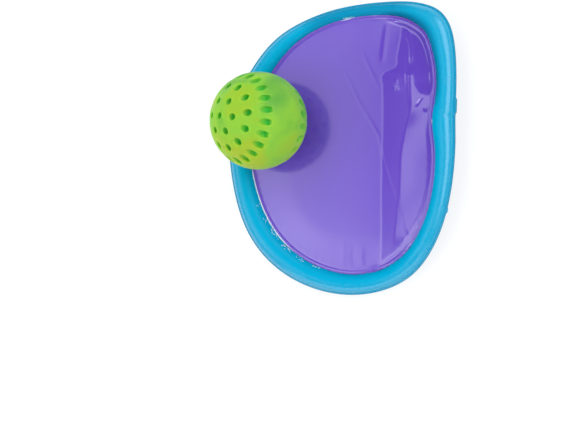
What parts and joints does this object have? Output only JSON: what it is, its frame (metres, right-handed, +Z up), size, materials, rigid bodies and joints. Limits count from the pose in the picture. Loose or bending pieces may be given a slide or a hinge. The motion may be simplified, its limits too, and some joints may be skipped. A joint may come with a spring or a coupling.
{
  "type": "sticky mitt and ball",
  "caption": "Hand-held inflated ring with a smooth film to catch on and a hand pocket behind, with a soft pitted ball resting on the film.",
  "frame": {"origin": "middle of the whole object's underside, on the surface it lies on", "axes": "+Z up from the catching side, +Y towards the fingertip end of the mitt, +X towards its curled side"},
  "size_m": [0.1618, 0.1976, 0.0743],
  "materials": {
    "ring_vinyl": "glossy inflated vinyl",
    "film_vinyl": "very glossy smooth vinyl film",
    "pocket_vinyl": "glossy vinyl sheet",
    "valve_vinyl": "soft moulded vinyl",
    "ball_rubber": "soft moulded rubber"
  },
  "bodies": {
    "root": {"rim_tube": "ring_vinyl", "catch_film": "film_vinyl", "hand_pocket": "pocket_vinyl", "valve": "valve_vinyl", "ball": "ball_rubber"}
  },
  "joints": []
}
